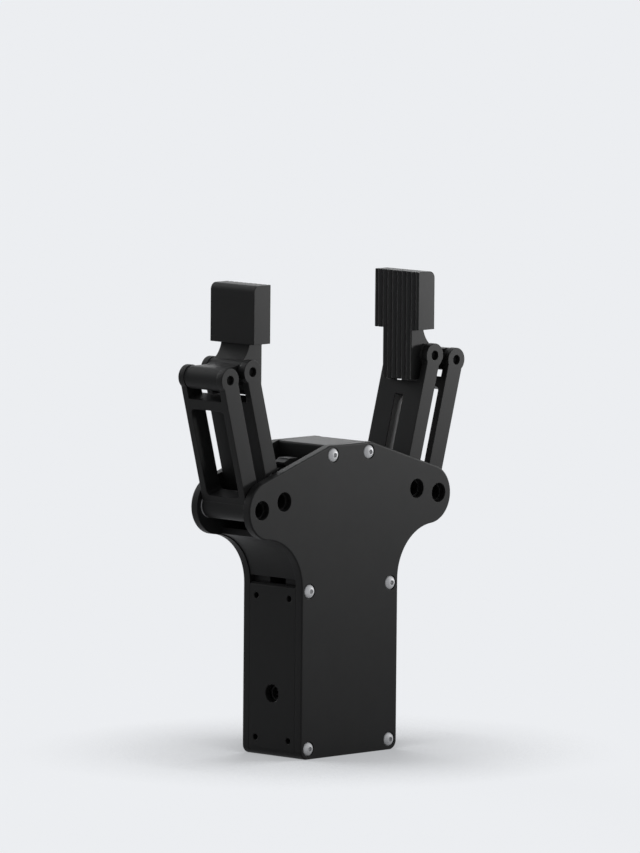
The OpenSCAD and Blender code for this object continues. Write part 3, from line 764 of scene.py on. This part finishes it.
class GRIPPER_OT_board(bpy.types.Operator):
    """Finish the control board and its chips, and add their legs and the small parts beside them"""

    bl_idname = "gripper.board"
    bl_label = "Control board"

    def execute(self, context):
        finish_nodes(context.scene.gripper_edges.small, "control_board", "board_chips")
        lowest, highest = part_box("control_board")

        def on_board(bm, y, height, size):
            """A box on the board's face, with its middle at y and at a height."""
            half_wide, half_tall = size[0] / 2, size[1] / 2
            z = lowest.z + height
            add_block(bm, (highest.x, y - half_wide, z - half_tall),
                      (highest.x + size[2], y + half_wide, z + half_tall))

        legs, small_parts = bmesh.new(), bmesh.new()
        wide, tall, rise = CHIP_LEG_SIZE
        for along in spaced(CHIP_LEGS_PER_SIDE, CHIP_LEG_PITCH):
            for reach in (-CHIP_LEG_REACH, CHIP_LEG_REACH):
                on_board(legs, reach, CHIP_HEIGHT + along, (tall, wide, rise))
                on_board(legs, along, CHIP_HEIGHT + reach, (wide, tall, rise))
        for middle in (-DRIVER_Y, DRIVER_Y):
            for along in spaced(DRIVER_LEGS_PER_SIDE, DRIVER_LEG_PITCH):
                for reach in (-DRIVER_LEG_REACH, DRIVER_LEG_REACH):
                    on_board(legs, middle + along, DRIVER_HEIGHT + reach, DRIVER_LEG_SIZE)
        for row, height in enumerate(SMALL_PART_HEIGHTS):
            shift = (row - 0.5) * SMALL_PART_PITCH / 2
            for along in spaced(SMALL_PARTS_PER_ROW, SMALL_PART_PITCH):
                on_board(small_parts, along + shift, height, SMALL_PART_SIZE)
                for reach in (-END_CAP_REACH, END_CAP_REACH):
                    on_board(legs, along + shift + reach, height, END_CAP_SIZE)
        body = BODY_OF["control_board"]
        add_piece("board_legs", legs, "screw_steel", body)
        add_piece("board_small_parts", small_parts, "black_plastic", body)
        return {"FINISHED"}


class GRIPPER_OT_stage(bpy.types.Operator):
    """Make the pale floor, the background, the lamps and the camera"""

    bl_idname = "gripper.stage"
    bl_label = "Stage"

    def execute(self, context):
        stage = context.scene.gripper_stage
        make_world(context.scene, stage)
        make_floor(context.scene, stage)
        add_spot("spot_lamp", stage.spot)
        add_sun("key_light", *KEY_LIGHT, stage.key)
        add_sun("fill_light", *FILL_LIGHT, stage.fill)
        add_sun("back_light", *BACK_LIGHT, stage.back)
        add_camera(context.scene)
        return {"FINISHED"}


# ---- Stage ----


def seen_by_camera(tree):
    """1 for the camera's rays and for those mirrored or passed on, and 0 for light."""
    path = tree.nodes.new("ShaderNodeLightPath")
    seen = path.outputs["Is Camera Ray"]
    for kind in ("Is Glossy Ray", "Is Transmission Ray"):
        either = tree.nodes.new("ShaderNodeMath")
        either.operation = "MAXIMUM"
        tree.links.new(seen, either.inputs[0])
        tree.links.new(path.outputs[kind], either.inputs[1])
        seen = either.outputs["Value"]
    return seen


def show_or_light(tree, output, shown, lighting):
    """Gives the output one shader where the camera sees it and another where it gives light."""
    mix = tree.nodes.new("ShaderNodeMixShader")
    tree.links.new(seen_by_camera(tree), mix.inputs["Fac"])
    tree.links.new(lighting, mix.inputs[1])
    tree.links.new(shown, mix.inputs[2])
    tree.links.new(mix.outputs["Shader"], output.inputs["Surface"])


def grey(value):
    """A grey as a socket takes it."""
    return (value, value, value, 1.0)


def diffuse(tree, value):
    """A matt grey surface."""
    node = tree.nodes.new("ShaderNodeBsdfDiffuse")
    node.inputs["Color"].default_value = grey(value)
    return node.outputs["BSDF"]


def make_world(scene, stage):
    """An even light from all round, with the background's colour where it is seen."""
    scene.world = bpy.data.worlds.new("studio")
    tree, output = empty_tree(scene.world, "ShaderNodeOutputWorld")
    light = tree.nodes.new("ShaderNodeBackground")
    light.inputs["Color"].default_value = grey(1.0)
    light.inputs["Strength"].default_value = stage.ambient
    seen = tree.nodes.new("ShaderNodeBackground")
    seen.inputs["Color"].default_value = (*stage.background, 1.0)
    show_or_light(tree, output, seen.outputs["Background"], light.outputs["Background"])


def contact_shade(tree):
    """1 in the open, and less on the floor close to the object."""
    sky = tree.nodes.new("ShaderNodeAmbientOcclusion")
    sky.inputs["Distance"].default_value = SHADE_REACH
    sky.samples = SHADE_RAYS
    steeper = tree.nodes.new("ShaderNodeMath")
    steeper.operation = "POWER"
    steeper.inputs[1].default_value = SHADE_POWER
    opened = spread(tree, sky.outputs["AO"], 0.0, 1.0, start=DARKEST_SKY, end=1.0)
    tree.links.new(opened, steeper.inputs[0])
    return spread(tree, steeper.outputs["Value"], DARKEST_SHADE, 1.0, start=0.0, end=1.0)


def make_floor(scene, stage):
    """A wide pale floor that keeps the object's soft shadow."""
    bm = bmesh.new()
    bmesh.ops.create_circle(bm, cap_ends=True, radius=FLOOR_RADIUS, segments=64)
    mesh = bpy.data.meshes.new("floor")
    bm.to_mesh(mesh)
    bm.free()
    floor = bpy.data.objects.new("floor", mesh)
    scene.collection.objects.link(floor)
    material = bpy.data.materials.new("studio_floor")
    tree, output = empty_tree(material, "ShaderNodeOutputMaterial")
    glow = tree.nodes.new("ShaderNodeEmission")
    glow.inputs["Strength"].default_value = FLOOR_GLOW
    colour_here = two_tones(tree, contact_shade(tree), (0.0, 0.0, 0.0), stage.background)
    tree.links.new(colour_here, glow.inputs["Color"])
    shown = tree.nodes.new("ShaderNodeAddShader")
    tree.links.new(diffuse(tree, FLOOR_SHOWN), shown.inputs[0])
    tree.links.new(glow.outputs["Emission"], shown.inputs[1])
    show_or_light(tree, output, shown.outputs["Shader"], diffuse(tree, FLOOR_BOUNCE))
    mesh.materials.append(material)


def aimed(place, target):
    """The turn that points an object's -Z from place at target."""
    return (Vector(target) - Vector(place)).to_track_quat("-Z", "Y")


def add_lamp(data, place, target):
    """Puts a lamp at place and aims it at target."""
    lamp = bpy.data.objects.new(data.name, data)
    lamp.rotation_mode = "QUATERNION"
    lamp.rotation_quaternion = aimed(place, target)
    lamp.location = place
    bpy.context.scene.collection.objects.link(lamp)


def add_spot(name, power):
    """A soft lamp whose light fades evenly from the middle of its cone to the rim."""
    data = bpy.data.lights.new(name, "SPOT")
    data.spot_size = math.radians(SPOT_CONE)
    data.spot_blend = 1.0
    data.shadow_soft_size = 0.03
    data.energy = power
    add_lamp(data, SPOT_PLACE, SPOT_TARGET)


def add_sun(name, direction, width, strength):
    """A distant light that comes from a direction and is width degrees across."""
    data = bpy.data.lights.new(name, "SUN")
    data.angle = math.radians(width)
    data.energy = strength
    add_lamp(data, direction, (0.0, 0.0, 0.0))


def add_camera(scene):
    """A long lens at the front left, a little above the object."""
    azimuth, elevation, roll = math.radians(-45.99), math.radians(6.37), math.radians(0.50)
    distance = 3.822
    looked_at = Vector((-0.0005, 0.0005, 0.075))
    aim_above = math.radians(0.4867)
    level = math.cos(elevation)
    away = Vector((math.sin(azimuth) * level, -math.cos(azimuth) * level, math.sin(elevation)))
    data = bpy.data.cameras.new("camera")
    data.sensor_fit = "VERTICAL"
    data.sensor_height = 36.0
    data.lens = 489.4
    data.clip_start = 0.1
    data.clip_end = 100.0
    camera = bpy.data.objects.new("camera", data)
    camera.rotation_mode = "QUATERNION"
    turn = (-away).to_track_quat("-Z", "Y").to_matrix()
    turn = turn @ Matrix.Rotation(aim_above, 3, "X") @ Matrix.Rotation(roll, 3, "Z")
    camera.rotation_quaternion = turn.to_quaternion()
    camera.location = looked_at + away * distance
    scene.collection.objects.link(camera)
    scene.camera = camera


# ---- Panel and registration ----

STEPS = ("covers", "housing", "links", "fingers", "pins", "screws", "drive", "lead_screw", "motor",
         "board", "stage")


class GRIPPER_PT_panel(bpy.types.Panel):
    """Lists the gripper's sizes, colours and steps"""

    bl_idname = "GRIPPER_PT_panel"
    bl_label = "Gripper"
    bl_space_type = "VIEW_3D"
    bl_region_type = "UI"
    bl_category = "Gripper"

    def draw(self, context):
        for group in (context.scene.gripper_edges, context.scene.gripper_thread,
                      context.scene.gripper_finish, context.scene.gripper_stage):
            box = self.layout.box()
            for name in group.bl_rna.properties.keys():
                if name not in {"rna_type", "name"}:
                    box.prop(group, name)
        column = self.layout.column(align=True)
        for step in STEPS:
            column.operator(f"gripper.{step}")


CLASSES = (
    GripperEdges, GripperThread, GripperFinish, GripperStage,
    GRIPPER_OT_covers, GRIPPER_OT_housing, GRIPPER_OT_links, GRIPPER_OT_fingers, GRIPPER_OT_pins,
    GRIPPER_OT_screws, GRIPPER_OT_drive, GRIPPER_OT_lead_screw, GRIPPER_OT_motor,
    GRIPPER_OT_board, GRIPPER_OT_stage, GRIPPER_PT_panel,
)


def register():
    """Adds the classes, and their settings to every scene."""
    for cls in CLASSES:
        bpy.utils.register_class(cls)
    bpy.types.Scene.gripper_edges = PointerProperty(type=GripperEdges)
    bpy.types.Scene.gripper_thread = PointerProperty(type=GripperThread)
    bpy.types.Scene.gripper_finish = PointerProperty(type=GripperFinish)
    bpy.types.Scene.gripper_stage = PointerProperty(type=GripperStage)


def unregister():
    """Takes away what register added."""
    del bpy.types.Scene.gripper_stage
    del bpy.types.Scene.gripper_finish
    del bpy.types.Scene.gripper_thread
    del bpy.types.Scene.gripper_edges
    for cls in reversed(CLASSES):
        bpy.utils.unregister_class(cls)


def main():
    """Runs every step."""
    register()
    bpy.context.scene.view_settings.view_transform = "Standard"
    for step in STEPS:
        getattr(bpy.ops.gripper, step)()


if __name__ == "__main__":
    main()
